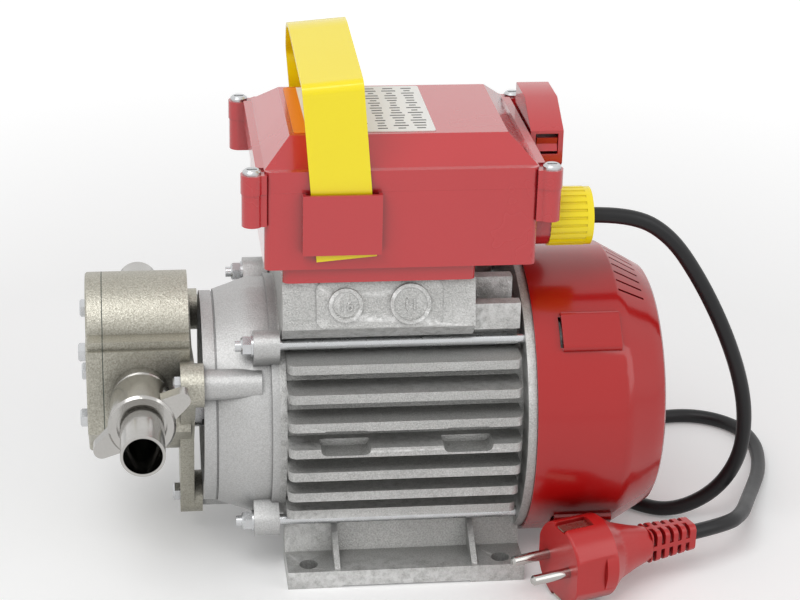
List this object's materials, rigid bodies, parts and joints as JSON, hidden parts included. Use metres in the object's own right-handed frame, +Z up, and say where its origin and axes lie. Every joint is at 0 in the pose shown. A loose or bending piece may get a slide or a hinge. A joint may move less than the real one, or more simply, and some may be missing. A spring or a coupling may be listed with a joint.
{
  "type": "electric gear pump",
  "caption": "Foot-mounted transfer pump: gear pump with winged hose unions on a finned, fan-cooled motor, with a control box, strap handle and mains lead.",
  "frame": {"origin": "centre of the four foot holes, on the plane that the feet stand on", "axes": "+X along the shafts from the pump to the fan, +Y from the outlet side to the inlet side, +Z up from the feet"},
  "size_m": [0.3514, 0.269, 0.2494],
  "materials": {
    "cast_aluminium": "grainy die casting",
    "smooth_aluminium": "fine satin casting",
    "nickel_casting": "nickel plated, fine cast grain",
    "bright_nickel": "bright plated",
    "zinc_steel": "bright zinc plate",
    "ground_steel": "ground",
    "core_steel": "varnished laminations",
    "copper": "enamelled copper",
    "bronze": "turned bronze",
    "red_plastic": "satin to gloss moulding",
    "yellow_plastic": "gloss",
    "grey_plastic": "matt moulding",
    "black_plastic": "matt moulding",
    "label_film": "printed film, left bare",
    "black_rubber": "matt rubber",
    "gasket_paper": "gasket sheet"
  },
  "bodies": {
    "pump_and_motor": {"motor_frame": "cast_aluminium", "front_shield": "smooth_aluminium", "rear_shield": "smooth_aluminium", "pump_body": "nickel_casting", "pump_cover": "nickel_casting", "port_nipples": "bright_nickel", "inlet_hose_tail": "bright_nickel", "outlet_hose_tail": "bright_nickel", "plug_pins": "bright_nickel", "tie_rods": "zinc_steel", "tie_rod_nuts": "zinc_steel", "tie_rod_washers": "zinc_steel", "cover_bolts": "zinc_steel", "flange_bolts": "zinc_steel", "lid_screws": "zinc_steel", "box_screws": "zinc_steel", "fan_cover_screws": "zinc_steel", "wave_washer": "zinc_steel", "bearing_outer_rings": "ground_steel", "stator_core": "core_steel", "stator_winding": "copper", "shaft_bushes": "bronze", "earth_contacts": "bronze", "fan_cover": "red_plastic", "control_box_base": "red_plastic", "control_box_lid": "red_plastic", "switch_hood": "red_plastic", "plug_body": "red_plastic", "plug_relief": "red_plastic", "handle_strap": "yellow_plastic", "gland_nut": "yellow_plastic", "terminal_block": "grey_plastic", "run_capacitor": "grey_plastic", "coil_tie": "black_plastic", "rating_label": "label_film", "lead_from_gland": "black_rubber", "lead_to_plug": "black_rubber", "lead_coil": "black_rubber", "shaft_seal": "black_rubber", "port_seal_rings": "black_rubber", "lid_gasket": "black_rubber", "gland_seal": "black_rubber", "pump_gasket": "gasket_paper"},
    "rotor": {"motor_shaft": "ground_steel", "rotor_core": "core_steel", "bearing_inner_rings": "ground_steel", "bearing_balls": "ground_steel", "cooling_fan": "grey_plastic", "fan_clip": "zinc_steel", "coupling_key": "ground_steel", "motor_coupling_half": "ground_steel", "coupling_insert": "black_rubber", "pump_coupling_half": "ground_steel", "pump_shaft": "ground_steel", "drive_gear": "ground_steel"},
    "driven_wheel": {"driven_gear": "ground_steel", "idler_shaft": "ground_steel"},
    "inlet_nut": {"inlet_union_nut": "bright_nickel"},
    "outlet_nut": {"outlet_union_nut": "bright_nickel"},
    "reversing_rocker": {"switch_rocker": "black_plastic"}
  },
  "joints": [
    {"name": "rotor_spin", "type": "hinge", "parent": "pump_and_motor", "child": "rotor", "pos_m": [0, 0, 0.071], "axis": [1, 0, 0], "continuous": true},
    {"name": "driven_gear_spin", "type": "hinge", "parent": "pump_and_motor", "child": "driven_wheel", "pos_m": [-0.1225, 0, 0.1085], "axis": [1, 0, 0], "continuous": true},
    {"name": "inlet_nut_turn", "type": "hinge", "parent": "pump_and_motor", "child": "inlet_nut", "pos_m": [-0.1202, 0.058, 0.08975], "axis": [0, 1, 0], "range_deg": [0, 360]},
    {"name": "outlet_nut_turn", "type": "hinge", "parent": "pump_and_motor", "child": "outlet_nut", "pos_m": [-0.1202, -0.058, 0.08975], "axis": [0, -1, 0], "range_deg": [0, 360]},
    {"name": "switch_rock", "type": "hinge", "parent": "pump_and_motor", "child": "reversing_rocker", "pos_m": [0.0673, 0, 0.1952], "axis": [1, 0, 0], "range_deg": [-12, 12]}
  ],
  "couplings": [
    {"joint": "driven_gear_spin", "follows": "rotor_spin", "ratio": -1}
  ]
}
